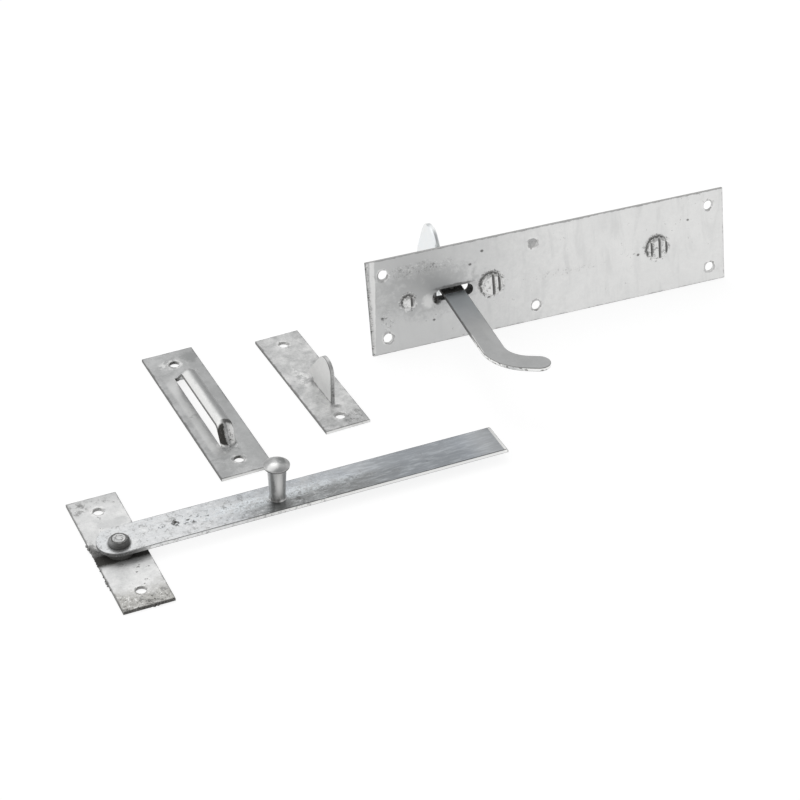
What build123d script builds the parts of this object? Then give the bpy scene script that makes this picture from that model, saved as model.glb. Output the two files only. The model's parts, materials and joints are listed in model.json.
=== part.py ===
from build123d import *
import os
from math import cos, radians, sin

# Suffolk latch in galvanised steel, laid out as a set: the handle plate with its thumb lever
# stands on its long edge, and the bar on its plate, the keep and the catch lie on their backs.
# Millimetres. The origin is the middle of the bar's plate on the floor, X runs along the bar and Z is up.

# Stock and fits
PLATE_T = 1.6
EDGE_BREAK = 0.25
SCREW_HOLE_D = 5.2
FIT_GAP = 0.05
RUN_GAP = 0.2
PIVOT_RUN_GAP = 0.1

# Bar plate, with the rivet that the bar turns on
BAR_PLATE_L = 84.0
BAR_PLATE_W = 24.5
BAR_PLATE_HOLE_MARGIN = 11.3
RIVET_Y = -1.0
RIVET_D = 6.0
RIVET_HEAD_D = 9.7
RIVET_HEAD_H = 2.9
RIVET_HEAD_BEVEL = 1.0
PEEN_DEPTH = 1.0
WASHER_D = 13.0
WASHER_T = 2.5

# Latch bar and its lifting knob
BAR_W = 19.8
BAR_T = 2.0
BAR_REACH = 194.0
BAR_MIDLINE_Y = 1.6
BAR_END_BEVEL = 0.9
KNOB_AT = 78.6
KNOB_H = 21.2
KNOB_HEAD_D = 12.6
KNOB_HEAD_H = 4.4
KNOB_RIM_DROP = 2.6
KNOB_SHOULDER_D = 8.8
KNOB_SHOULDER_DROP = 0.7
KNOB_CROWN_D = 4.0
KNOB_NECK_D = 9.2
KNOB_WAIST_D = 7.6
KNOB_BASE_D = 9.6
KNOB_BASE_H = 1.6
KNOB_TENON_D = 6.0

# Keep: a plate with a strap lanced up out of it
KEEP_L = 110.0
KEEP_W = 27.0
KEEP_HOLE_MARGIN = 11.3
KEEP_SLOT_L = 63.0
KEEP_SLOT_W = 8.8
STRAP_W = 8.2
STRAP_CROWN = 1.2
STRAP_LIP = 1.4
STRAP_GAP = 8.0
STRAP_RAMP_FAR = 9.0
STRAP_RAMP_NEAR = 6.0
STRAP_BEND_R = 4.0

# Catch: a hooked fin tenoned into a plate
CATCH_L = 87.3
CATCH_W = 23.8
CATCH_HOLE_MARGIN = 9.25
FIN_T = 2.2
FIN_ACROSS = 1.3
FIN_NEAR = -22.8
FIN_BASE_L = 20.7
FIN_H = 22.6
FIN_TOP_R = 7.0
FIN_RAMP_DEG = 49.0
NOTCH_H = 2.5
NOSE_H = 1.6
TENON_SHOULDER = 2.5

# Handle plate
HANDLE_PLATE_L = 203.2
HANDLE_PLATE_W = 51.0
HANDLE_END_MARGIN = 8.9
HANDLE_SIDE_MARGIN = 8.15
HANDLE_MID_HOLES_AT = -9.4
SHEAR_TOP_W = 4.4
SHEAR_BOTTOM_W = 0.8
SHEAR_DEPTH = 1.0
LEVER_AT = -54.6
LEVER_SLOT_L = 20.8
LEVER_SLOT_W = 6.2

# Pull handle, one forging riveted through the plate at three points
TOP_STAKE_AT = -34.0
FOOT_STAKE_AT = 61.8
TIP_STAKE_AT = -80.2
CUSP_HALF_L = 36.0
CUSP_W = 25.0
CUSP_T = 5.6
FOOT_HALF_L = 19.0
FOOT_W = 20.0
FOOT_T = 3.6
BOW_W = 14.0
BOW_T = 8.0
BOW_CHAMFER = 2.4
BOW_REACH = 36.0
BOW_SPLAY = 10.0
BOW_BEND_R = 17.0
STAKE_D = 12.0
STAKE_H = 2.8
STAKE_SHANK_D = 8.0
TIP_STAKE_D = 6.6
TIP_STAKE_H = 2.0
TIP_SHANK_D = 4.4
STAKE_FLATS = 14
STAKE_BEVEL = 1.0
STAKE_CUT_W = 1.7
STAKE_CUT_DEPTH = 1.7
TIP_STAKE_CUTS = (1.3,)
TOP_STAKE_CUTS = (0.3, 3.6)
FOOT_STAKE_CUTS = (-4.2, 0.4, 4.4)

# Thumb lever and its pin
PIN_D = 3.0
PIN_SINK = 0.5
LEVER_HOLE_SLACK = 0.8
TAIL_W = 11.8
TAIL_T = 2.0
TAIL_STRAIGHT = 64.5
TAIL_BEND_R = 19.6
TAIL_BEND_DEG = 67.0
TAIL_TIP_RUN = 5.5
TAIL_SET = 4.8
NECK_FROM = 5.5
NECK_W = 7.0
PAD_NEAR = 17.0
PAD_TIP = 43.5
PAD_HALF_W = 23.0
PAD_CORNER_R = 10.0
PAD_TIP_R = 10.0
PAD_T = 2.6
PAD_ROOT_W = 13.0
PAD_EDGE = 0.6
PAD_RISE = 1.4

# Layout of the set, and how the lever hangs in its slot
KEEP_AT = (73.9, 86.0)
KEEP_TURN = 1.1
CATCH_AT = (131.7, 89.5)
CATCH_TURN = 2.2
HANDLE_AT = (270.7, 93.2)
HANDLE_TURN = -2.05
HANDLE_LEAN = 12.7
LEVER_DROOP = 8.6

# Heights that stack up from the floor at the bar's pivot
BAR_Z = PLATE_T + WASHER_T + RUN_GAP
BAR_TOP = BAR_Z + BAR_T
RIVET_HEAD_Z = BAR_TOP + RUN_GAP
PIN_Z = PLATE_T + CUSP_T / 2

# Spacings of the screw holes, set in from the ends and sides of the plates
BAR_PLATE_HOLES = BAR_PLATE_L - 2 * BAR_PLATE_HOLE_MARGIN
KEEP_HOLES = KEEP_L - 2 * KEEP_HOLE_MARGIN
CATCH_HOLES = CATCH_L - 2 * CATCH_HOLE_MARGIN
HANDLE_HOLE_COLUMN = HANDLE_PLATE_L / 2 - HANDLE_END_MARGIN
HANDLE_HOLE_ROWS = HANDLE_PLATE_W - 2 * HANDLE_SIDE_MARGIN


def bored(diameter, height, bottom=0.0):
    """Cylinder on Z that cuts a hole, or fills one, from a given height upwards."""
    return Pos(0, 0, bottom) * Cylinder(diameter / 2, height, align=(Align.CENTER, Align.CENTER, Align.MIN))


def countersink(shank_d, clearance):
    """Cone under the floor side of a piece that a shank is hammered out into."""
    wide = shank_d / 2 + PEEN_DEPTH + clearance
    return Cone(wide, shank_d / 2 + clearance, PEEN_DEPTH, align=(Align.CENTER, Align.CENTER, Align.MIN))


def sheet(length_x, length_y):
    """Flat sheet on the floor with the arrises of its upper face broken."""
    blank = Pos(0, 0, PLATE_T / 2) * Box(length_x, length_y, PLATE_T)
    return chamfer(blank.edges().group_by(Axis.Z)[-1], EDGE_BREAK)


def screw_plate(length, width, spacing):
    """Long plate along Y with a screw hole near each end."""
    plate = sheet(width, length)
    for side in (-1, 1):
        plate -= Pos(0, side * spacing / 2, 0) * bored(SCREW_HOLE_D, PLATE_T)
    return plate


def bar_plate():
    """Plate under the bar, with a countersunk back for the rivet."""
    plate = screw_plate(BAR_PLATE_L, BAR_PLATE_W, BAR_PLATE_HOLES)
    seat = bored(RIVET_D + 2 * FIT_GAP, PLATE_T) + countersink(RIVET_D, FIT_GAP)
    return plate - Pos(0, RIVET_Y, 0) * seat


def pivot_rivet():
    """Rivet with a flat bevelled head, hammered out flush under the plate."""
    shank = bored(RIVET_D, RIVET_HEAD_Z)
    head = bored(RIVET_HEAD_D, RIVET_HEAD_H, RIVET_HEAD_Z)
    head = chamfer(head.edges().group_by(Axis.Z)[-1], RIVET_HEAD_BEVEL)
    return Pos(0, RIVET_Y, 0) * (shank + countersink(RIVET_D, 0) + head)


def spacer_washer():
    """Washer that holds the bar clear of its plate."""
    ring = bored(WASHER_D, WASHER_T, PLATE_T) - bored(RIVET_D + 2 * FIT_GAP, WASHER_T, PLATE_T)
    return Pos(0, RIVET_Y, 0) * ring


def latch_bar():
    """Flat bar with a round nose at its pivot, where the hole lies below its middle line."""
    outline = Circle(BAR_W / 2) + Pos(BAR_REACH / 2, 0) * Rectangle(BAR_REACH, BAR_W)
    bar = Pos(0, BAR_MIDLINE_Y, BAR_Z) * extrude(outline, BAR_T)
    upper = bar.edges().group_by(Axis.Z)[-1]
    bar = chamfer(upper.sort_by(Axis.X)[-1:], BAR_END_BEVEL)
    rim = bar.edges().group_by(Axis.Z)[-1].sort_by(Axis.X)[:-1]
    bar = chamfer(rim, EDGE_BREAK)
    bar -= Pos(0, RIVET_Y, 0) * bored(RIVET_D + 2 * PIVOT_RUN_GAP, BAR_T, BAR_Z)
    knob_seat = bored(KNOB_TENON_D + 2 * FIT_GAP, BAR_T) + countersink(KNOB_TENON_D, FIT_GAP)
    return bar - Pos(KNOB_AT, BAR_MIDLINE_Y, BAR_Z) * knob_seat


def lifting_knob():
    """Turned knob with a tapered stem and a low mushroom head, its tenon hammered out under the bar."""
    profile = Polyline(
        (0, 0),
        (KNOB_BASE_D / 2, 0),
        (KNOB_WAIST_D / 2, KNOB_BASE_H),
        (KNOB_NECK_D / 2, KNOB_H - KNOB_HEAD_H),
        (KNOB_HEAD_D / 2, KNOB_H - KNOB_RIM_DROP),
        (KNOB_SHOULDER_D / 2, KNOB_H - KNOB_SHOULDER_DROP),
        (KNOB_CROWN_D / 2, KNOB_H),
        (0, KNOB_H),
        close=True,
    )
    knob = Pos(0, 0, BAR_T) * revolve(make_face(Plane.XZ * profile), Axis.Z)
    tenon = bored(KNOB_TENON_D, BAR_T) + countersink(KNOB_TENON_D, 0)
    return Pos(KNOB_AT, BAR_MIDLINE_Y, BAR_Z) * (knob + tenon)


def keep_strap():
    """Strap of hollow half-round section, creased up out of the plate, level and dropping back.

    Its ramps run on through the plate at their own slope, to be cut off flush under it."""
    level_z = PLATE_T + STRAP_GAP + PLATE_T / 2
    rise = level_z - PLATE_T / 2
    half = KEEP_SLOT_L / 2
    far_foot = half + STRAP_RAMP_FAR * PLATE_T / rise
    near_foot = half + STRAP_RAMP_NEAR * PLATE_T / rise
    path = FilletPolyline(
        (0, far_foot, -PLATE_T / 2),
        (0, half - STRAP_RAMP_FAR, level_z),
        (0, -half + STRAP_RAMP_NEAR, level_z),
        (0, -near_foot, -PLATE_T / 2),
        radius=STRAP_BEND_R,
    )
    low = -PLATE_T / 2
    outer_end = STRAP_W / 2
    inner_end = outer_end - STRAP_LIP
    outer = ThreePointArc((-outer_end, low), (0, PLATE_T / 2 + STRAP_CROWN), (outer_end, low))
    inner = ThreePointArc((inner_end, low), (0, STRAP_CROWN - PLATE_T / 2), (-inner_end, low))
    right_lip = Line((outer_end, low), (inner_end, low))
    left_lip = Line((-inner_end, low), (-outer_end, low))
    section = make_face(Curve([outer, right_lip, inner, left_lip]))
    start = Plane(origin=path @ 0, x_dir=(1, 0, 0), z_dir=path % 0)
    return sweep(start * section, path)


def keep_plate():
    """Keep that the bar works through: plate and strap are one pressing."""
    plate = screw_plate(KEEP_L, KEEP_W, KEEP_HOLES)
    plate -= extrude(Rectangle(KEEP_SLOT_W, KEEP_SLOT_L), PLATE_T)
    strap = split(keep_strap(), Plane.XY, keep=Keep.TOP)
    return plate + strap


def fin_far():
    """Far end of the fin's base, where the notch starts."""
    return FIN_NEAR + FIN_BASE_L


def catch_plate():
    """Plate of the catch, with a mortise for the fin."""
    plate = screw_plate(CATCH_L, CATCH_W, CATCH_HOLES)
    mortise_l = FIN_BASE_L - 2 * TENON_SHOULDER + 2 * FIT_GAP
    mortise = Rectangle(FIN_T + 2 * FIT_GAP, mortise_l)
    middle = FIN_NEAR + FIN_BASE_L / 2
    return plate - Pos(FIN_ACROSS, middle, 0) * extrude(mortise, PLATE_T)


def catch_hook():
    """Fin with a ramp that the bar rides up and a notch that it drops into."""
    ramp = radians(FIN_RAMP_DEG)
    foot_z = PLATE_T
    top_y = FIN_NEAR + FIN_TOP_R
    top_z = foot_z + FIN_H - FIN_TOP_R
    ramp_start = (top_y + FIN_TOP_R * sin(ramp), top_z + FIN_TOP_R * cos(ramp))
    nose_z = foot_z + NOTCH_H + NOSE_H
    nose_y = ramp_start[0] + (ramp_start[1] - nose_z) * cos(ramp) / sin(ramp)
    near_side = Polyline((fin_far(), foot_z), (FIN_NEAR, foot_z), (FIN_NEAR, top_z))
    over_top = (top_y - FIN_TOP_R * sin(ramp / 2), top_z + FIN_TOP_R * cos(ramp / 2))
    crest = ThreePointArc((FIN_NEAR, top_z), over_top, ramp_start)
    far_side = Polyline(
        ramp_start,
        (nose_y, nose_z),
        (nose_y, foot_z + NOTCH_H),
        (fin_far(), foot_z + NOTCH_H),
        (fin_far(), foot_z),
    )
    face = make_face(Plane.YZ * Curve([near_side, crest, far_side]))
    fin = Pos(FIN_ACROSS - FIN_T / 2, 0, 0) * extrude(face, FIN_T, dir=(1, 0, 0))
    tenon_l = FIN_BASE_L - 2 * TENON_SHOULDER
    tenon = extrude(Rectangle(FIN_T, tenon_l), PLATE_T)
    return fin + Pos(FIN_ACROSS, FIN_NEAR + FIN_BASE_L / 2, 0) * tenon


def lever_slot(height):
    """Cutter for the slot that the lever's tail passes through."""
    return Pos(LEVER_AT, 0, 0) * extrude(SlotOverall(LEVER_SLOT_L, LEVER_SLOT_W), height)


def sheared_end():
    """Slanting bevel that the shears left on one end, wide at the top edge and narrow at the bottom."""
    end_x = -HANDLE_PLATE_L / 2
    half_w = HANDLE_PLATE_W / 2
    sections = []
    for y, width in ((-half_w, SHEAR_TOP_W), (half_w, SHEAR_BOTTOM_W)):
        corner = Polyline((end_x, 0), (end_x + width, 0), (end_x, SHEAR_DEPTH), close=True)
        sections.append(Plane(origin=(0, y, 0), x_dir=(1, 0, 0), z_dir=(0, -1, 0)) * make_face(corner))
    return loft(sections, ruled=True)


def handle_plate():
    """Back plate of the handle, lying on the face that is screwed to the door. Y points down it."""
    plate = Rot(180, 0, 0) * Pos(0, 0, -PLATE_T) * sheet(HANDLE_PLATE_L, HANDLE_PLATE_W)
    for x in (-HANDLE_HOLE_COLUMN, HANDLE_MID_HOLES_AT, HANDLE_HOLE_COLUMN):
        for side in (-1, 1):
            plate -= Pos(x, side * HANDLE_HOLE_ROWS / 2, 0) * bored(SCREW_HOLE_D, PLATE_T)
    for x, shank_d in ((TIP_STAKE_AT, TIP_SHANK_D), (TOP_STAKE_AT, STAKE_SHANK_D), (FOOT_STAKE_AT, STAKE_SHANK_D)):
        plate -= Pos(x, 0, 0) * bored(shank_d + 2 * FIT_GAP, PLATE_T)
    return plate - lever_slot(PLATE_T) - sheared_end()


def leaf(middle_x, half_length, width, thickness):
    """Leaf-shaped flat of the pull handle, seated on the plate."""
    tips = ((middle_x - half_length, 0), (middle_x + half_length, 0))
    upper = ThreePointArc(tips[0], (middle_x, -width / 2), tips[1])
    lower = ThreePointArc(tips[1], (middle_x, width / 2), tips[0])
    return Pos(0, 0, PLATE_T) * extrude(make_face(Curve([upper, lower])), thickness)


def stake(x, shank_d, head_d, head_h, cuts):
    """Tenon through the plate, hammered out on its far face and spread by chisel cuts."""
    shank = bored(shank_d, PLATE_T)
    head = Pos(0, 0, -head_h) * extrude(RegularPolygon(head_d / 2, STAKE_FLATS), head_h)
    head = chamfer(head.edges().group_by(Axis.Z)[0], STAKE_BEVEL)
    half_w = STAKE_CUT_W / 2
    blade = make_face(Plane.XZ * Polyline((-half_w, 0), (half_w, 0), (0, STAKE_CUT_DEPTH), close=True))
    chisel = extrude(blade, head_d / 2, both=True)
    for offset in cuts:
        head -= Pos(offset, 0, -head_h) * chisel
    return Pos(x, 0, 0) * (shank + head)


def handle_bow():
    """Grip of the pull handle, bent out from the cusp and back to the foot."""
    level = PLATE_T + BOW_REACH
    root = PLATE_T + FOOT_T / 2
    path = FilletPolyline(
        (TOP_STAKE_AT, 0, root),
        (TOP_STAKE_AT + BOW_SPLAY, 0, level),
        (FOOT_STAKE_AT - BOW_SPLAY, 0, level),
        (FOOT_STAKE_AT, 0, root),
        radius=BOW_BEND_R,
    )
    start = Plane(origin=path @ 0, x_dir=(0, 1, 0), z_dir=path % 0)
    stock = Rectangle(BOW_W, BOW_T)
    section = chamfer(stock.vertices(), BOW_CHAMFER)
    return sweep(start * section, path)


def pull_handle():
    """Forged pull handle: cusp, bow and foot in one, riveted through the plate."""
    cusp = leaf(LEVER_AT, CUSP_HALF_L, CUSP_W, CUSP_T)
    foot = leaf(FOOT_STAKE_AT, FOOT_HALF_L, FOOT_W, FOOT_T)
    forging = cusp + foot + split(handle_bow(), Plane.XY.offset(PLATE_T), keep=Keep.TOP)
    forging -= lever_slot(PLATE_T + CUSP_T)
    pin_hole = Cylinder((PIN_D + 2 * FIT_GAP) / 2, CUSP_W, rotation=(90, 0, 0))
    forging -= Pos(LEVER_AT, 0, PIN_Z) * pin_hole
    forging += stake(TIP_STAKE_AT, TIP_SHANK_D, TIP_STAKE_D, TIP_STAKE_H, TIP_STAKE_CUTS)
    forging += stake(TOP_STAKE_AT, STAKE_SHANK_D, STAKE_D, STAKE_H, TOP_STAKE_CUTS)
    forging += stake(FOOT_STAKE_AT, STAKE_SHANK_D, STAKE_D, STAKE_H, FOOT_STAKE_CUTS)
    return forging


def lever_pin():
    """Pin across the cusp that the thumb lever rocks on."""
    pin = Cylinder(PIN_D / 2, CUSP_W - 2 * PIN_SINK, rotation=(90, 0, 0))
    return Pos(LEVER_AT, 0, PIN_Z) * pin


def lever_tail():
    """Flat tail on edge, set a little aside, straight and then curved back, with a round tip."""
    half = TAIL_W / 2
    outer_side = Line((-half, -NECK_FROM), (-half, TAIL_STRAIGHT))
    outer_bend = JernArc(outer_side @ 1, outer_side % 1, TAIL_BEND_R + half, -TAIL_BEND_DEG)
    outer_run = Line(outer_bend @ 1, outer_bend @ 1 + TAIL_TIP_RUN * (outer_bend % 1))
    inner_side = Line((half, -NECK_FROM), (half, TAIL_STRAIGHT))
    inner_bend = JernArc(inner_side @ 1, inner_side % 1, TAIL_BEND_R - half, -TAIL_BEND_DEG)
    inner_run = Line(inner_bend @ 1, inner_bend @ 1 + TAIL_TIP_RUN * (inner_bend % 1))
    tip_point = (outer_run @ 1 + inner_run @ 1) / 2 + half * (outer_run % 1)
    tip = ThreePointArc(outer_run @ 1, tip_point, inner_run @ 1)
    root = Line(inner_side @ 0, outer_side @ 0)
    edges = [outer_side, outer_bend, outer_run, tip, inner_run, inner_bend, inner_side, root]
    tail = extrude(make_face(Curve(edges)), TAIL_T / 2, both=True)
    levels = tail.edges().group_by(Axis.Z)
    rims = [edge for level in (levels[0], levels[-1]) for edge in level.sort_by(Axis.Y)[1:]]
    tail = chamfer(rims, EDGE_BREAK)
    tail -= Cylinder((PIN_D + LEVER_HOLE_SLACK) / 2, TAIL_T)
    return Rot(0, 0, TAIL_SET) * tail


def thumb_pad():
    """Rounded triangular pad, on edge to the tail, that the thumb presses."""
    corner_y = -PAD_NEAR - PAD_CORNER_R
    corner_z = PAD_HALF_W - PAD_CORNER_R
    rounds = [Pos(corner_y, side * corner_z) * Circle(PAD_CORNER_R) for side in (-1, 1)]
    rounds.append(Pos(-PAD_TIP + PAD_TIP_R, 0) * Circle(PAD_TIP_R))
    outline = make_hull([edge for circle in rounds for edge in circle.edges()])
    pad = extrude(Plane.YZ * outline, PAD_T / 2, both=True)
    levels = pad.edges().group_by(Axis.X)
    return Pos(0, 0, -PAD_RISE) * chamfer(levels[0] + levels[-1], PAD_EDGE)


def lever_neck():
    """Neck that is forged over from the tail's section to the pad's."""
    root_y = -PAD_NEAR - PAD_CORNER_R
    middle_y = -(NECK_FROM + PAD_NEAR) / 2
    sections = (
        (-NECK_FROM, 0, TAIL_W, TAIL_T, TAIL_SET),
        (middle_y, PAD_RISE / 2, NECK_W, NECK_W, TAIL_SET / 2),
        (root_y, PAD_RISE, PAD_T, PAD_ROOT_W, 0),
    )
    faces = []
    for y, rise, wide, high, turn in sections:
        station = Plane(origin=(0, y, -rise), x_dir=(1, 0, 0), z_dir=(0, -1, 0))
        faces.append(Rot(0, 0, turn) * station * Rectangle(wide, high))
    return loft(faces)


def thumb_lever():
    """Lever as it hangs on its pin, with its tail drooping."""
    lever = lever_tail() + lever_neck() + thumb_pad()
    hang = Rot(-90, 0, 0) * Rot(LEVER_DROOP, 0, 0)
    return Pos(LEVER_AT, 0, PIN_Z) * hang * lever


def standing(piece):
    """Stand the handle up on its long edge, leaning away, at its place in the layout."""
    lean = radians(HANDLE_LEAN)
    middle_z = HANDLE_PLATE_W / 2 * cos(lean) + PLATE_T * sin(lean)
    middle_y = HANDLE_PLATE_W / 2 * sin(lean)
    upright = Pos(0, middle_y, middle_z) * Rot(-90 - HANDLE_LEAN, 0, 0)
    return Pos(*HANDLE_AT, 0) * Rot(0, 0, HANDLE_TURN) * upright * piece


def lying(piece, place, turn):
    """Lay a piece of the keep or the catch at its place in the layout."""
    return Pos(*place, 0) * Rot(0, 0, turn) * piece


def nodes():
    """Every piece of the set, by name, where it lies."""
    return {
        "bar_plate": bar_plate(),
        "pivot_rivet": pivot_rivet(),
        "spacer_washer": spacer_washer(),
        "latch_bar": latch_bar(),
        "lifting_knob": lifting_knob(),
        "keep_plate": lying(keep_plate(), KEEP_AT, KEEP_TURN),
        "catch_plate": lying(catch_plate(), CATCH_AT, CATCH_TURN),
        "catch_hook": lying(catch_hook(), CATCH_AT, CATCH_TURN),
        "handle_plate": standing(handle_plate()),
        "pull_handle": standing(pull_handle()),
        "lever_pin": standing(lever_pin()),
        "thumb_lever": standing(thumb_lever()),
    }


os.makedirs("parts", exist_ok=True)
for name, solid in nodes().items():
    export_step(solid, f"parts/{name}.step")
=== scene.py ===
"""Looks of a galvanised suffolk latch set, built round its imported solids."""

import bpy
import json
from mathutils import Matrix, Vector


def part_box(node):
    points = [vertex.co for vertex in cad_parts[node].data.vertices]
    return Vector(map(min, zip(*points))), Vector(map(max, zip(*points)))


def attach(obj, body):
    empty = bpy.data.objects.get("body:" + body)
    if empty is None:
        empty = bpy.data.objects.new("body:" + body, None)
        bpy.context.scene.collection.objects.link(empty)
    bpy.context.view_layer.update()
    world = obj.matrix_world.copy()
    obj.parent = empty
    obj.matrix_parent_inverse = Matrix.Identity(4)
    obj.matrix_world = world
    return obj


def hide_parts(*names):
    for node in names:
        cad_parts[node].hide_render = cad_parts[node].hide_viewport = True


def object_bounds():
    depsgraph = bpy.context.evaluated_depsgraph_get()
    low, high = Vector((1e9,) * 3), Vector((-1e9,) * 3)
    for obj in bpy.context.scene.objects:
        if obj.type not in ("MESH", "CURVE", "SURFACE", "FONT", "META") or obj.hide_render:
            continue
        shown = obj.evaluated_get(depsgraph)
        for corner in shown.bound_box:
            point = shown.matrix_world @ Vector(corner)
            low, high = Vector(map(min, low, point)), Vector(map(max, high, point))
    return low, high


bl_info = {
    "name": "Suffolk latch set",
    "version": (1, 0, 0),
    "blender": (4, 5, 0),
    "location": "3D View > Sidebar > Latch",
    "description": "Zinc finishes, dross and a white studio for a suffolk latch set",
    "category": "Object",
}

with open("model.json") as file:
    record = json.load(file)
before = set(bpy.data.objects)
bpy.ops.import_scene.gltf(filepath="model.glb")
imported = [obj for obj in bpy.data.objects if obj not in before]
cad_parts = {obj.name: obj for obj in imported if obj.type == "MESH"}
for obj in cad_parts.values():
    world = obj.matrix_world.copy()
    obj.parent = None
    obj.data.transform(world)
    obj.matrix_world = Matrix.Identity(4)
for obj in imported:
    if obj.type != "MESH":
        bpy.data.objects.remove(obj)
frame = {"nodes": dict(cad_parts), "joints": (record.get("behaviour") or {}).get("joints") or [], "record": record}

import json
from math import cos, pi, radians, sin

import bmesh
import bpy
from mathutils import Matrix, Vector, noise

CAD_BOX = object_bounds()
MOUNTS = {mount["name"]: mount for mount in frame["record"]["mounts"]}
JOINTS = {joint["name"]: joint for joint in frame["joints"]}
MM = 0.001


def mount_place(name):
    """Place of a screw pattern in metres."""
    return Vector(MOUNTS[name]["pos_m"])


def handle_axes():
    """Middle and turn of the standing handle plate: X along it, Y down it, Z away from the door side."""
    top = mount_place("handle_top_screws")
    bottom = mount_place("handle_bottom_screws")
    along = (bottom - top).normalized()
    away = -Vector(MOUNTS["handle_top_screws"]["axis"]).normalized()
    down = away.cross(along)
    turn = Matrix((along, down, away)).transposed()
    return (top + bottom) / 2, turn


HANDLE_MIDDLE, HANDLE_TURN = handle_axes()
PIN_PLACE = Vector(JOINTS["lever_pivot"]["pos_m"])
RIVET_PLACE = Vector(JOINTS["bar_pivot"]["pos_m"])


class ZincColours(bpy.types.PropertyGroup):
    """Colours of the zinc, of the dirt in it and of the painted light and shade."""

    # Near-white zinc, also laid as painted highlight on walls, flanks and edges.
    white: bpy.props.FloatVectorProperty(
        name="White zinc",
        description="Polished zinc on edges and bright flanks",
        subtype="COLOR",
        default=(0.90, 0.90, 0.89),
    )
    bright: bpy.props.FloatVectorProperty(
        name="Bright zinc",
        description="Clean zinc on the plates",
        subtype="COLOR",
        default=(0.78, 0.78, 0.775),
    )
    dull: bpy.props.FloatVectorProperty(
        name="Dull zinc",
        description="Weathered zinc between the bright patches",
        subtype="COLOR",
        default=(0.53, 0.535, 0.535),
    )
    grey: bpy.props.FloatVectorProperty(
        name="Grey zinc",
        description="Plain grey zinc of the keep",
        subtype="COLOR",
        default=(0.36, 0.365, 0.365),
    )
    # Also laid as painted shade and painted dark reflection on the bar, the knob and the rivet.
    dark: bpy.props.FloatVectorProperty(
        name="Dark zinc",
        description="Stained zinc in smears and round the slot",
        subtype="COLOR",
        default=(0.20, 0.205, 0.205),
    )
    bluish: bpy.props.FloatVectorProperty(
        name="Bluish zinc",
        description="Smooth zinc on the bar and the lever",
        subtype="COLOR",
        default=(0.33, 0.355, 0.39),
    )
    pale: bpy.props.FloatVectorProperty(
        name="Pale bluish zinc",
        description="Clean zinc on the lever and in streaks on the bar",
        subtype="COLOR",
        default=(0.82, 0.865, 0.895),
    )
    ochre: bpy.props.FloatVectorProperty(
        name="Ochre film",
        description="Brownish film of flux on the plates",
        subtype="COLOR",
        default=(0.30, 0.29, 0.26),
    )
    # Colour of grime, and of painted shade wherever the pieces are darkened.
    grime_and_shade: bpy.props.FloatVectorProperty(
        name="Grime",
        description="Dark dirt along edges and in holes",
        subtype="COLOR",
        default=(0.05, 0.048, 0.044),
    )


class ZincTexture(bpy.types.PropertyGroup):
    """Scale and depth of the zinc's mottling."""

    cloud_size: bpy.props.FloatProperty(
        name="Cloud size",
        description="Width of the broad tonal clouds, in millimetres",
        default=28.0,
        min=1.0,
    )
    mist_size: bpy.props.FloatProperty(
        name="Mist size",
        description="Width of the small clouds, in millimetres",
        default=8.0,
        min=0.5,
    )
    fleck_size: bpy.props.FloatProperty(
        name="Fleck size",
        description="Width of the flecks, in millimetres",
        default=2.6,
        min=0.2,
    )
    grain_size: bpy.props.FloatProperty(
        name="Grain size",
        description="Width of the fine grain, in millimetres",
        default=0.8,
        min=0.1,
    )
    relief: bpy.props.FloatProperty(
        name="Relief",
        description="Height of the surface's unevenness",
        subtype="DISTANCE",
        default=0.00012,
        min=0.0,
    )


class LatchLayout(bpy.types.PropertyGroup):
    """How the loose pieces are turned."""

    keep_turn: bpy.props.FloatProperty(
        name="Keep turn",
        description="Turn of the keep about the vertical",
        subtype="ANGLE",
        default=radians(1.1),
    )
    catch_turn: bpy.props.FloatProperty(
        name="Catch turn",
        description="Turn of the catch about the vertical",
        subtype="ANGLE",
        default=radians(2.2),
    )
    lever_droop: bpy.props.FloatProperty(
        name="Lever droop",
        description="How far the lever hangs down in its slot",
        subtype="ANGLE",
        default=radians(8.6),
    )


class StudioSettings(bpy.types.PropertyGroup):
    """Camera, lamps and floor."""

    eye: bpy.props.FloatVectorProperty(
        name="Eye",
        description="Where the camera stands",
        subtype="TRANSLATION",
        default=(-0.22474, -0.80789, 0.684),
    )
    pitch: bpy.props.FloatProperty(
        name="Pitch",
        description="How far the camera looks down",
        subtype="ANGLE",
        default=radians(35.77),
    )
    heading: bpy.props.FloatProperty(
        name="Heading",
        description="How far the camera is turned from +Y towards +X",
        subtype="ANGLE",
        default=radians(24.32),
    )
    roll: bpy.props.FloatProperty(
        name="Roll",
        description="How far the camera is tipped sideways",
        subtype="ANGLE",
        default=radians(0.33),
    )
    lens: bpy.props.FloatProperty(
        name="Lens",
        description="Focal length in millimetres on a 36 mm sensor",
        default=105.5,
        min=1.0,
    )
    key_power: bpy.props.FloatProperty(
        name="Key lamp",
        description="Power of the soft lamp above and behind the set",
        subtype="POWER",
        default=5.0,
        min=0.0,
    )
    sky_back: bpy.props.FloatProperty(
        name="Sky at the back",
        description="Strength of the surroundings high at the back",
        default=0.92,
        min=0.0,
    )
    sky_front: bpy.props.FloatProperty(
        name="Sky overhead",
        description="Strength of the surroundings high at the front",
        default=0.38,
        min=0.0,
    )
    sky_low: bpy.props.FloatProperty(
        name="Sky low at the back",
        description="Strength of the surroundings at the back's horizon",
        default=0.5,
        min=0.0,
    )
    sky_left: bpy.props.FloatProperty(
        name="Sky at the left",
        description="Strength that the surroundings gain at the left",
        default=0.42,
        min=0.0,
    )
    floor_colour: bpy.props.FloatVectorProperty(
        name="Floor",
        description="Colour of the floor",
        subtype="COLOR",
        default=(0.25, 0.25, 0.25),
    )
    floor_glow: bpy.props.FloatProperty(
        name="Floor glow",
        description="White that the floor shows even in shadow",
        default=0.835,
        min=0.0,
    )


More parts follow.
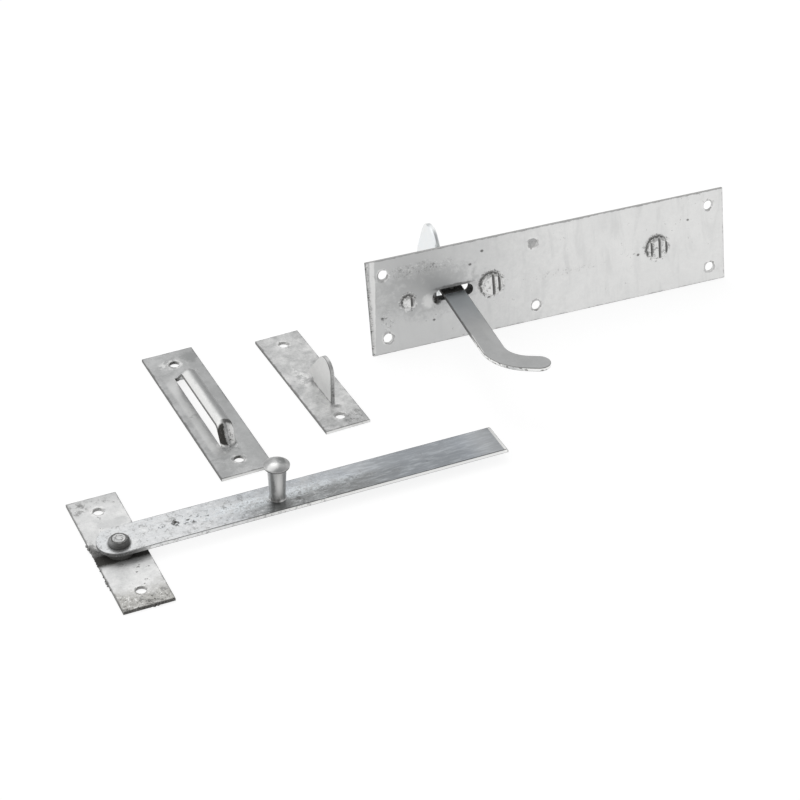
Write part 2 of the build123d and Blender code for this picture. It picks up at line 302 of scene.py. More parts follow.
class Shade:
    """One value or colour in a shader, with the arithmetic that adds Math nodes."""

    def __init__(self, graph, socket):
        self.graph = graph
        self.socket = socket

    def __add__(self, other):
        return self.graph.math("ADD", self, other)

    def __radd__(self, other):
        return self.graph.math("ADD", other, self)

    def __sub__(self, other):
        return self.graph.math("SUBTRACT", self, other)

    def __rsub__(self, other):
        return self.graph.math("SUBTRACT", other, self)

    def __mul__(self, other):
        return self.graph.math("MULTIPLY", self, other)

    def __rmul__(self, other):
        return self.graph.math("MULTIPLY", other, self)

    def __truediv__(self, other):
        return self.graph.math("DIVIDE", self, other)

    def __abs__(self):
        return self.graph.math("ABSOLUTE", self, 0.0)

    def high(self, other):
        """The larger of two values."""
        return self.graph.math("MAXIMUM", self, other)

    def low(self, other):
        """The smaller of two values."""
        return self.graph.math("MINIMUM", self, other)

    def clamped(self):
        """The value held between 0 and 1."""
        return self.high(0.0).low(1.0)

    def root(self):
        """Square root."""
        return self.graph.math("SQRT", self, 0.0)

    def rise(self, start, end):
        """Smooth step from 0 at start to 1 at end."""
        settings = {"interpolation_type": "SMOOTHSTEP"}
        values = {"Value": self, "From Min": start, "From Max": end}
        return self.graph.node("ShaderNodeMapRange", settings, values)

    def fall(self, start, end):
        """Smooth step from 1 at start to 0 at end."""
        return 1.0 - self.rise(start, end)

    def band(self, start, end, soft):
        """1 between start and end, with soft sides."""
        return self.rise(start - soft, start) * self.fall(end, end + soft)


class Graph:
    """Node tree of one material or of the world."""

    def __init__(self, tree):
        self.tree = tree
        self.tree.nodes.clear()

    def node(self, kind, settings=None, inputs=None, output=0):
        """Add a node: its settings first, then the values or links of its sockets."""
        made = self.tree.nodes.new(kind)
        for name, value in (settings or {}).items():
            setattr(made, name, value)
        for name, value in (inputs or {}).items():
            if isinstance(value, Shade):
                self.tree.links.new(value.socket, made.inputs[name])
            else:
                made.inputs[name].default_value = value
        return Shade(self, made.outputs[output])

    def math(self, operation, first, second):
        """Math node on two values."""
        return self.node("ShaderNodeMath", {"operation": operation}, {0: first, 1: second})

    def mix(self, factor, first, second):
        """Blend of two colours."""
        colours = {6: rgba(first), 7: rgba(second)}
        return self.node("ShaderNodeMix", {"data_type": "RGBA"}, {0: factor, **colours}, 2)

    def noise(self, place, size, detail=3.0, roughness=0.5, distortion=0.0):
        """Noise whose features are about size wide, in the units of place."""
        values = {"Vector": place, "Scale": 1 / size, "Detail": detail}
        values.update({"Roughness": roughness, "Distortion": distortion})
        return self.node("ShaderNodeTexNoise", {}, values)

    def stretched(self, place, scale):
        """Coordinates scaled along each axis, so that a pattern runs one way."""
        return self.node("ShaderNodeVectorMath", {"operation": "MULTIPLY"}, {0: place, 1: scale})

    def parts(self, place):
        """The three numbers of a coordinate."""
        split = self.node("ShaderNodeSeparateXYZ", {}, {0: place}).socket.node
        return [Shade(self, socket) for socket in split.outputs]

    def finish(self, kind, shader):
        """Output node of the tree."""
        out = self.tree.nodes.new(kind)
        self.tree.links.new(shader.socket, out.inputs[0])


def rgba(colour):
    """Colour with full alpha, or a linked colour as it is."""
    return colour if isinstance(colour, Shade) else (*colour[:3], 1.0)


class Zinc:
    """Mottled hot-dip zinc on one piece, in the piece's own millimetres."""

    def __init__(self, name, middle=(0, 0, 0), turn=(0, 0, 0)):
        self.material = bpy.data.materials.new(name)
        self.material.use_nodes = True
        self.graph = Graph(self.material.node_tree)
        self.look = bpy.context.scene.zinc_texture
        self.colours = bpy.context.scene.zinc_colours
        objects = self.graph.node("ShaderNodeTexCoord", {}, {}, "Object")
        values = {"Vector": objects, "Location": middle, "Rotation": turn, "Scale": (MM, MM, MM)}
        self.place = self.graph.node("ShaderNodeMapping", {"vector_type": "TEXTURE"}, values)
        self.x, self.y, self.z = self.graph.parts(self.place)
        self.cloud = self.graph.noise(self.place, self.look.cloud_size, 3.0, 0.5, 0.8)
        self.mist = self.graph.noise(self.place, self.look.mist_size, 4.0, 0.6, 0.6)
        self.fleck = self.graph.noise(self.place, self.look.fleck_size, 4.0, 0.65, 0.3)
        self.grain = self.graph.noise(self.place, self.look.grain_size, 3.0, 0.6)
        self.darkening = None
        self.tone = None

    def base(self, light, dark, balance=0.5, contrast=0.24):
        """Lay the two zinc colours in clouds, mist, flecks and grain."""
        mottle = 0.3 * self.cloud + 0.35 * self.mist + 0.2 * self.fleck + 0.15 * self.grain
        shade = (mottle - balance) / contrast + 0.5
        self.tone = self.graph.mix(shade.clamped(), dark, light)
        return self

    def streaks(self, run, colour, amount):
        """Blend a colour in along faint lines that run along X."""
        lines = self.graph.stretched(self.place, (1 / run, 1, 1))
        streak = self.graph.noise(lines, 1.3, 4.0, 0.65)
        return self.tint(amount * streak.rise(0.45, 0.7), colour)

    def drips(self, width, run, colour, amount):
        """Blend a colour in along soft runs down Y."""
        lines = self.graph.stretched(self.place, (1, 1 / run, 1))
        run_down = self.graph.noise(lines, width, 3.0, 0.6, 0.5)
        return self.tint(amount * run_down.rise(0.48, 0.7), colour)

    def tint(self, amount, colour):
        """Blend a colour in where amount says."""
        self.tone = self.graph.mix(amount, self.tone, colour)
        return self

    def ragged(self, depth):
        """Uneven offset that frays the border of a mark."""
        return depth * (0.5 * self.mist + 0.5 * self.fleck - 0.5)

    def patch(self, x, y, half_x, half_y, fray=4.0):
        """Ragged oval blotch: 1 inside, 0 outside."""
        across = (self.x - x) / half_x
        along = (self.y - y) / half_y
        reach = across * across + along * along + self.ragged(fray)
        return reach.fall(0.2, 1.3)

    def ring(self, x, y):
        """Distance from a point, in the plane of the plate."""
        across = self.x - x
        along = self.y - y
        return (across * across + along * along).root()

    def darken(self, amount):
        """Darken towards the grime colour, for dirt and for painted shade, broken up by the grain."""
        broken = amount * (0.45 + 0.9 * self.grain)
        self.darkening = broken if self.darkening is None else self.darkening.high(broken)
        return self

    def edges(self, half_x, half_y, side_walls=0.9, end_walls=0.5, rim=0.5):
        """Cut walls of a plate, lightened at its ends as painted highlight and darkened as painted shade, and a
        thin ragged line of grime along its rim.
        """
        from_side = half_x - abs(self.x)
        from_end = half_y - abs(self.y)
        # Painted highlight on the end walls, then painted shade on the side and end walls.
        self.tint(0.85 * from_end.fall(0.06, 0.2), self.colours.white)
        self.darken(side_walls * from_side.fall(0.06, 0.2))
        self.darken(end_walls * from_end.fall(0.06, 0.2))
        inset = from_side.low(from_end) + self.ragged(3.0)
        on_face = from_side.rise(0.06, 0.2) * from_end.rise(0.06, 0.2)
        return self.darken(rim * on_face * inset.fall(0.1, 0.7))

    def holes(self, points, radius, walls=0.4, amount=0.5):
        """Walls of holes, lightened and then darkened on their upper-left side as painted shade, and a ragged ring
        of bright and dark zinc round each.
        """
        for x, y in points:
            gap = self.ring(x, y) - radius
            frayed = gap + self.ragged(9.0)
            shaded_upper_left = (self.x - x - self.y + y).fall(-2.0, 4.0)
            self.tint(0.45 * frayed.band(0.3, 1.0, 0.6) * self.mist.rise(0.4, 0.55), self.colours.white)
            # Walls lightened, then painted shade on the upper-left walls.
            self.tint(0.7 * gap.fall(0.02, 0.15), self.colours.white)
            self.darken(walls * gap.fall(0.02, 0.15) * shaded_upper_left)
            self.darken(amount * frayed.band(-0.6, 0.2, 0.5) * (0.4 + 0.6 * self.mist.rise(0.4, 0.6)))
        return self

    def specks(self, amount=0.5, share=0.69):
        """Small dark pits in loose groups."""
        pits = self.fleck + 0.5 * self.cloud - 0.25
        return self.darken(amount * pits.rise(share, share + 0.08))

    def grit(self, where, amount=0.6):
        """Fine dark and bright grains."""
        grains = 0.6 * self.fleck + 0.4 * self.grain
        self.tint(0.8 * amount * where * grains.fall(0.38, 0.47), self.colours.white)
        return self.darken(amount * where * grains.rise(0.51, 0.62))

    def done(self, smooth=0.3, rough=0.55, metal=0.92, relief=1.0):
        """Close the shader."""
        # Grime and painted shade together darken the colour, roughen the zinc and dull its metal.
        darkening = self.darkening if self.darkening is not None else self.grain * 0.0
        darkening = darkening.clamped()
        colour = self.graph.mix(darkening, self.tone, self.colours.grime_and_shade)
        roughness = smooth + (rough - smooth) * self.mist + 0.3 * darkening
        height = 0.4 * self.mist + 0.25 * self.fleck + 0.2 * self.cloud + 0.15 * self.grain
        height = height + 0.5 * self.fleck.rise(0.62, 0.72) - 0.5 * darkening
        bump = self.graph.node(
            "ShaderNodeBump",
            {},
            {"Strength": 0.6, "Distance": relief * self.look.relief, "Height": height},
        )
        values = {"Base Color": colour, "Roughness": roughness, "Normal": bump}
        values["Metallic"] = metal - 0.6 * darkening
        shader = self.graph.node("ShaderNodeBsdfPrincipled", {}, values)
        self.graph.finish("ShaderNodeOutputMaterial", shader)
        return self.material


def dress(node, material):
    """Give a solid its finish."""
    piece = frame["nodes"][node]
    piece.data.materials.clear()
    piece.data.materials.append(material)


def seat(name, shape, material, body):
    """Turn a finished bmesh into a piece of the set that moves with a body."""
    mesh = bpy.data.meshes.new(name)
    shape.to_mesh(mesh)
    shape.free()
    mesh.materials.append(material)
    piece = bpy.data.objects.new(name, mesh)
    bpy.context.scene.collection.objects.link(piece)
    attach(piece, body)
    return piece


def smooth_shading(shape, crease):
    """Smooth faces, with the edges that are sharper than crease kept hard."""
    for face in shape.faces:
        face.smooth = True
    for edge in shape.edges:
        edge.smooth = edge.calc_face_angle(0.0) < crease


def spun(outline, middle, steps=48):
    """Solid turned about the vertical from an outline of radius and height, in millimetres."""
    shape = bmesh.new()
    verts = [shape.verts.new((radius * MM, 0, height * MM)) for radius, height in outline]
    edges = [shape.edges.new(pair) for pair in zip(verts, verts[1:])]
    bmesh.ops.spin(
        shape,
        geom=verts + edges,
        cent=(0, 0, 0),
        axis=(0, 0, 1),
        angle=2 * pi,
        steps=steps,
        use_merge=True,
    )
    bmesh.ops.remove_doubles(shape, verts=shape.verts, dist=MM / 1000)
    bmesh.ops.recalc_face_normals(shape, faces=shape.faces)
    bmesh.ops.translate(shape, verts=shape.verts, vec=middle)
    return shape


def crumbs(spots, unevenness=0.5):
    """Lumps of dross: each spot gives a place in metres and a radius in millimetres."""
    shape = bmesh.new()
    for place, radius in spots:
        made = bmesh.ops.create_icosphere(shape, subdivisions=2, radius=radius * MM)
        for vertex in made["verts"]:
            bulge = noise.noise(vertex.co / (radius * MM) + place / MM)
            vertex.co = place + vertex.co * (1 + unevenness * bulge)
            vertex.co.z = max(vertex.co.z, 0.0)
    bmesh.ops.recalc_face_normals(shape, faces=shape.faces)
    smooth_shading(shape, radians(60))
    return shape


def scatter(index, spread):
    """Repeatable offset between -spread and +spread for the lump with this number."""
    return spread * sin(12.9898 * index + 4.1) * cos(7.233 * index)


def hole_pair(mount):
    """The two screw holes of a lying plate, in its own millimetres, and their radius."""
    dims = MOUNTS[mount]["dims"]
    half = dims["pcd_mm"] / 2
    return [(0, -half), (0, half)], dims["hole_r_mm"]


def lying_half(node, turn):
    """Half the width and half the length of a plate that lies on the floor, in millimetres."""
    turned = Matrix.Rotation(-turn, 3, "Z")
    corners = [turned @ vertex.co for vertex in frame["nodes"][node].data.vertices]
    half_x = (max(corner.x for corner in corners) - min(corner.x for corner in corners)) / 2
    half_y = (max(corner.y for corner in corners) - min(corner.y for corner in corners)) / 2
    return half_x / MM, half_y / MM


def lying_zinc(node, mount, turn, light, dark, contrast, end_walls, hole_walls):
    """Zinc of a lying plate, with painted highlight and shade on its walls, its rim and holes."""
    zinc = Zinc(node + "_zinc", mount_place(mount), (0, 0, turn))
    points, radius = hole_pair(mount)
    half_x, half_y = lying_half(node, turn)
    zinc.base(light, dark, 0.5, contrast)
    zinc.edges(half_x, half_y, 0.7, end_walls)
    zinc.holes(points, radius, hole_walls)
    return zinc


class LATCH_OT_plates(bpy.types.Operator):
    """Finish the bar plate, the keep and the catch"""

    bl_idname = "latch.plates"
    bl_label = "Finish the lying plates"

    fin_across = 1.3
    fin_half_t = 1.1
    strap_half_w = 4.1
    strap_ramp_at = -25.5
    strap_level_to = 24.0
    near_lumps = 13
    left_lumps = 14
    left_lumps_from = 11.0
    left_lump_step = 2.7

    def execute(self, context):
        self.bar_plate(context)
        self.keep(context)
        self.catch(context)
        self.hook(context)
        return {"FINISHED"}

    def bar_plate(self, context):
        """Bright plate, brown and gritty at its near end, with dross on two edges."""
        colours = context.scene.zinc_colours
        zinc = lying_zinc("bar_plate", "bar_plate_screws", 0.0, colours.bright, colours.dull, 0.2, 0.9, 0.6)
        near = (zinc.y + zinc.ragged(40.0)).fall(-38.0, -24.0)
        zinc.tint(0.6 * near, colours.ochre)
        zinc.grit(near, 0.8)
        far = (zinc.y + zinc.ragged(30.0)).rise(33.0, 41.0)
        zinc.tint(0.4 * far, colours.grey)
        zinc.grit(far, 0.4)
        zinc.tint(0.5 * zinc.patch(4.0, 20.0, 9.0, 3.0), colours.dull)
        zinc.darken(0.85 * zinc.patch(-11.0, 2.0, 2.6, 9.0))
        # Painted shadow of the bar across the plate, just in front of it.
        zinc.darken(1.2 * (zinc.y + zinc.ragged(3.0)).band(-7.0, -2.0, 3.6))
        zinc.darken(0.6 * zinc.patch(-8.0, 36.0, 5.0, 6.0) * zinc.fleck.rise(0.48, 0.6))
        zinc.specks(0.8, 0.65)
        material = zinc.done()
        dress("bar_plate", material)
        self.bar_plate_dross(material)

    def bar_plate_dross(self, material):
        """Lumps along the near end and the left side of the bar plate."""
        low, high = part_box("bar_plate")
        spots = []
        for index in range(self.near_lumps):
            x = low.x + (high.x - low.x) * (index + 0.5) / self.near_lumps + scatter(index, 0.6) * MM
            place = Vector((x, low.y + scatter(index, 0.2) * MM, (1.1 + scatter(index + 3, 0.4)) * MM))
            spots.append((place, 0.65 + scatter(index + 9, 0.3)))
        for index in range(self.left_lumps):
            y = (self.left_lumps_from - self.left_lump_step * index + scatter(index, 1.6)) * MM
            place = Vector((low.x, y, (0.9 + scatter(index, 0.5)) * MM))
            spots.append((place, 0.75 - 0.02 * index + scatter(index + 5, 0.3)))
        seat("bar_plate_dross", crumbs(spots), material, "latch_set")

    def keep(self, context):
        """Grey plate with a strap that has a painted highlight on its left flank and painted shade on its right
        flank and near end.
        """
        colours = context.scene.zinc_colours
        turn = context.scene.latch_layout.keep_turn
        zinc = lying_zinc("keep_plate", "keep_screws", turn, colours.dull, colours.grey, 0.15, 0.1, 0.9)
        zinc.tint(0.5 * zinc.x.rise(2.0, 9.0), colours.grey)
        # Painted light beside the strap's left flank, against its shade.
        zinc.tint(0.45 * zinc.x.band(-9.0, -5.0, 2.0) * zinc.y.band(-30.0, 25.0, 10.0), colours.bright)
        zinc.tint(0.5 * zinc.patch(-7.5, -3.0, 2.4, 3.0, 8.0) * zinc.fleck.rise(0.46, 0.56), colours.dark)
        zinc.tint(0.4 * zinc.patch(9.0, 47.0, 5.0, 5.0), colours.dark)
        zinc.tint(0.6 * zinc.patch(-1.0, 44.0, 9.0, 5.0) * zinc.fleck.rise(0.46, 0.58), colours.white)
        zinc.grit(zinc.patch(0.0, -33.0, 6.0, 6.0), 0.7)
        zinc.tint(0.7 * zinc.patch(-4.0, -30.0, 2.4, 2.4), colours.white)
        raised = zinc.z.rise(2.0, 3.0) * abs(zinc.x).fall(self.strap_half_w + 0.2, self.strap_half_w + 0.5)
        level = raised * zinc.y.fall(self.strap_level_to - 3.0, self.strap_level_to)
        # Painted highlight on the strap's left flank and painted shade on its right.
        zinc.tint(0.9 * level * (zinc.x + zinc.ragged(3.0)).fall(-2.2, 0.2), colours.white)
        zinc.tint(0.7 * raised * zinc.x.rise(-0.6, 0.6), colours.grey)
        ramp = (zinc.y + zinc.ragged(3.0)).fall(self.strap_ramp_at - 1.0, self.strap_ramp_at) * raised
        # Painted highlight on the right of the near ramp and painted shade on its left.
        zinc.tint(0.9 * ramp * (zinc.x + zinc.ragged(3.0)).rise(0.0, 1.0), colours.white)
        zinc.darken(1.2 * ramp * (zinc.x + zinc.ragged(4.0)).fall(-1.6, -0.6))
        zinc.grit(ramp * zinc.x.band(-1.2, 1.0, 0.8), 1.1)
        # Painted shade where the level strap meets the near ramp, and along the strap's left wall.
        border = (zinc.y + zinc.ragged(4.0)).band(self.strap_ramp_at - 0.5, self.strap_ramp_at + 1.0, 1.0)
        zinc.darken(0.9 * border * raised * zinc.x.rise(-2.5, 0.5))
        zinc.darken(0.85 * raised * zinc.x.fall(-3.75, -3.5))
        # Painted shadow where the strap leaves the plate at its far end.
        notch = zinc.y.band(self.strap_level_to + 3.5, self.strap_level_to + 7.5, 1.0)
        zinc.darken(0.9 * notch * zinc.x.band(-4.2, -2.4, 0.3) * zinc.z.fall(6.0, 7.0))
        zinc.specks(0.6, 0.67)
        dress("keep_plate", zinc.done())

    def catch(self, context):
        """Mottled plate, gritty at its near corner."""
        colours = context.scene.zinc_colours
        turn = context.scene.latch_layout.catch_turn
        zinc = lying_zinc("catch_plate", "catch_screws", turn, colours.bright, colours.grey, 0.24, 0.05, 0.5)
        corner = zinc.patch(7.0, -38.0, 9.0, 7.0)
        zinc.tint(0.3 * corner, colours.grey)
        zinc.grit(corner, 0.7)
        zinc.tint(0.6 * zinc.patch(-3.5, 4.0, 4.0, 11.0) * zinc.fleck.rise(0.44, 0.6), colours.white)
        zinc.darken(0.5 * zinc.patch(2.5, -26.5, 2.2, 1.6))
        zinc.specks(0.4)
        dress("catch_plate", zinc.done())

    def hook(self, context):
        """Bright fin whose cut edge is dulled and darkened as painted shade, with painted shade at the foot of its
        left face.
        """
        colours = context.scene.zinc_colours
        turn = context.scene.latch_layout.catch_turn
        hook = Zinc("catch_hook_zinc", mount_place("catch_screws"), (0, 0, turn))
        hook.base(colours.white, colours.bright, 0.42)
        rind = (self.fin_half_t - abs(hook.x - self.fin_across)).rise(0.02, 0.2)
        # The cut edge is dulled and darkened in ragged patches: painted shade.
        hook.tint(0.8 * rind, colours.dull)
        hook.darken(0.6 * rind * hook.ragged(8.0).rise(0.0, 0.8))
        hook.darken(0.6 * rind * (hook.x - self.fin_across).fall(-0.8, -0.4))
        # Painted shade along the foot of the fin's left face, where it meets the plate.
        hook.darken(0.6 * hook.x.fall(0.2, 0.4) * (hook.z + hook.ragged(3.0)).fall(1.8, 2.6))
        dress("catch_hook", hook.done(metal=0.7))


class LATCH_OT_bar(bpy.types.Operator):
    """Finish the latch bar, its rivet and its knob"""

    bl_idname = "latch.bar"
    bl_label = "Finish the bar"

    bar_half_w = 9.9
    rivet_flat_r = 3.85
    tenon_r = 3.0
    peen_r = 4.0
    peen_h = 1.0
    base_r = 4.3
    waist_r = 3.8
    neck_r = 4.6
    head_r = 6.3
    fillet_h = 1.8
    rim_drop = 2.2
    rim_t = 0.9
    fillet_steps = 6
    dome_steps = 10

    def execute(self, context):
        self.bar(context)
        self.rivet(context)
        self.washer(context)
        self.knob(context)
        return {"FINISHED"}

    def bar(self, context):
        """Light and pitted at the pivot, bluish and smooth towards its end."""
        colours = context.scene.zinc_colours
        low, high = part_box("latch_bar")
        knob_low, knob_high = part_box("lifting_knob")
        knob_x = (knob_low.x + knob_high.x) / 2 / MM
        middle_y = (low.y + high.y) / 2 / MM
        end_x = high.x / MM
        top_z = high.z / MM
        zinc = Zinc("latch_bar_zinc")
        across = zinc.y - middle_y
        zinc.base(colours.dull, colours.bluish, 0.5, 0.3)
        zinc.tint(0.55 * (zinc.x + zinc.ragged(60.0)).fall(20.0, 80.0), colours.bright)
        # Painted dark reflection along the near half of the top, towards the end.
        near_half = (across + zinc.ragged(6.0)).fall(-2.0, 2.5)
        zinc.tint(0.85 * near_half * zinc.x.rise(50.0, 75.0), colours.dark)
        zinc.tint(0.75 * (zinc.x + zinc.ragged(50.0)).rise(115.0, 150.0), colours.bluish)
        zinc.tint(0.3 * (zinc.x + zinc.ragged(30.0)).band(135.0, 165.0, 15.0), colours.dark)
        zinc.tint(0.45 * zinc.x.rise(end_x - 22.0, end_x - 8.0), colours.dull)
        zinc.streaks(6.0, colours.pale, 0.24)
        zinc.grit((zinc.x + zinc.ragged(60.0)).fall(70.0, 150.0), 0.4)
        zinc.tint(0.6 * zinc.patch(70.0, 2.0, 55.0, 4.5) * zinc.fleck.rise(0.42, 0.58), colours.pale)
        # Painted shadow of the knob on the bar, in front of it.
        zinc.tint(0.8 * zinc.patch(knob_x, -4.5, 6.0, 5.0, 2.0), colours.dark)
        zinc.darken(1.2 * zinc.patch(32.0, 2.5, 17.0, 4.5) * zinc.fleck.rise(0.5, 0.6))
        zinc.specks(0.5, 0.67)
        inset = self.bar_half_w - abs(across)
        wall = inset.fall(0.03, 0.1) * zinc.x.rise(0.0, 2.0)
        # Painted highlight on the side walls, brighter towards the end, and painted shade along their lower edge.
        zinc.tint(wall * (0.45 + 0.4 * zinc.x.rise(50.0, 90.0)), colours.white)
        zinc.darken(0.4 * wall * (zinc.z - low.z / MM).fall(0.15, 0.4))
        # Painted highlight across the bevelled end.
        zinc.tint(zinc.x.band(end_x - 1.8, end_x - 0.7, 0.3), colours.white)
        frayed = inset + zinc.ragged(1.6)
        zinc.darken(0.55 * frayed.band(0.1, 0.3, 0.2) * inset.rise(0.04, 0.12))
        zinc.darken(0.7 * zinc.x.rise(end_x - 0.45, end_x - 0.3))
        # Painted shade on the walls of the rounded pivot end, and round the rivet's head.
        zinc.darken(0.85 * zinc.x.fall(2.0, 14.0) * (top_z - zinc.z).rise(0.15, 0.4))
        zinc.darken(0.7 * (zinc.ring(RIVET_PLACE.x / MM, RIVET_PLACE.y / MM) + zinc.ragged(1.5)).fall(5.0, 6.1))
        dress("latch_bar", zinc.done(0.22, 0.42, 0.95, 0.7))

    def rivet(self, context):
        """Mottled head with a painted dark reflection and painted shade on its bevel."""
        colours = context.scene.zinc_colours
        zinc = Zinc("pivot_rivet_zinc", RIVET_PLACE)
        zinc.base(colours.bright, colours.grey, 0.5, 0.16)
        from_axis = zinc.ring(0.0, 0.0)
        bevel = from_axis.rise(self.rivet_flat_r - 0.1, self.rivet_flat_r + 0.1)
        # The bevel is darkened as a painted dark reflection, and further as painted shade, most on its lower
        # right.
        zinc.tint(0.6 * bevel, colours.dark)
        shaded_lower_right = (0.35 * zinc.x - 0.94 * zinc.y + zinc.ragged(5.0)).rise(-2.0, 3.5)
        zinc.darken(bevel * (0.2 + 0.6 * shaded_lower_right))
        zinc.darken(0.9 * (from_axis + zinc.ragged(2.5)).band(3.1, 3.6, 0.3))
        zinc.darken(0.6 * (from_axis + zinc.ragged(4.0)).band(1.2, 2.0, 0.6) * zinc.grain.rise(0.46, 0.56))
        dress("pivot_rivet", zinc.done(0.22, 0.4, 0.95))

    def washer(self, context):
        """Washer under the bar, painted dark all over as shade."""
        colours = context.scene.zinc_colours
        washer = Zinc("spacer_washer_zinc", RIVET_PLACE)
        # Dark colours and dark mix all over: painted shade under the bar.
        washer.base(colours.grey, colours.dark)
        washer.darken(1.0 - 0.3 * washer.mist)
        dress("spacer_washer", washer.done())

    def knob_outline(self, bar_t, top):
        """Half section of the knob from its hammered end to its crown: radius and height."""
        rim_z = top - self.rim_drop
        outline = [(0.0, 0.0), (self.peen_r, 0.0), (self.tenon_r, self.peen_h), (self.tenon_r, bar_t)]
        for step in range(self.fillet_steps):
            turn = step / (self.fillet_steps - 1) * pi / 2
            radius = self.base_r - (self.base_r - self.waist_r) * sin(turn)
            outline.append((radius, bar_t + self.fillet_h * (1 - cos(turn))))
        outline.append((self.neck_r, rim_z - self.rim_t - 0.6))
        outline.append((self.neck_r + 0.5, rim_z - self.rim_t))
        outline.append((self.head_r - 0.2, rim_z - self.rim_t))
        outline.append((self.head_r, rim_z - 0.2))
        for step in range(self.dome_steps):
            share = 1 - step / (self.dome_steps - 1)
            outline.append((self.head_r * share, top - self.rim_drop * share**2.2))
        return outline

    def knob(self, context):
        """Turned knob with a smooth stem and a low domed head."""
        colours = context.scene.zinc_colours
        low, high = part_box("lifting_knob")
        bar_low, bar_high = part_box("latch_bar")
        middle = Vector(((low.x + high.x) / 2, (low.y + high.y) / 2, low.z))
        bar_t = (bar_high.z - bar_low.z) / MM
        top = (high.z - low.z) / MM
        rim_z = top - self.rim_drop
        zinc = Zinc("lifting_knob_zinc", middle)
        zinc.base(colours.bright, colours.grey, 0.48, 0.22)
        head = zinc.z.rise(rim_z, rim_z + 0.4)
        zinc.tint(0.4 * head, colours.grey)
        # A dark patch and a white patch on the head: painted reflections.
        zinc.tint(0.8 * zinc.patch(2.4, 0.5, 2.6, 3.4) * head, colours.dark)
        zinc.tint(0.7 * zinc.patch(-3.0, -2.5, 3.0, 2.2) * head, colours.white)
        stem = zinc.z.fall(rim_z - self.rim_t - 0.8, rim_z - self.rim_t - 0.5)
        # Across the stem as the camera sees it: along it run a painted highlight and painted shade in stripes down
        # the stem, and painted shade at its foot
        seen_across = 0.91 * zinc.x - 0.41 * zinc.y
        zinc.tint(0.9 * stem * (seen_across + zinc.ragged(2.0)).band(-0.6, 2.6, 0.6), colours.white)
        zinc.darken(0.55 * stem * (seen_across + zinc.ragged(2.0)).band(-2.4, -1.6, 0.5))
        foot = (zinc.z + zinc.ragged(2.0)).fall(bar_t + 0.8, bar_t + 3.0)
        zinc.darken(0.8 * foot * seen_across.band(-2.5, 1.0, 1.0))
        # Painted shade under and along the head's rim.
        zinc.darken(0.75 * zinc.z.band(rim_z - self.rim_t, rim_z - 0.3, 0.2))
        material = zinc.done(0.34, 0.5, 0.95, 0.9)
        shape = spun(self.knob_outline(bar_t, top), middle)
        smooth_shading(shape, radians(38))
        piece = seat("lifting_knob_turned", shape, material, "latch_bar")
        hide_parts("lifting_knob")


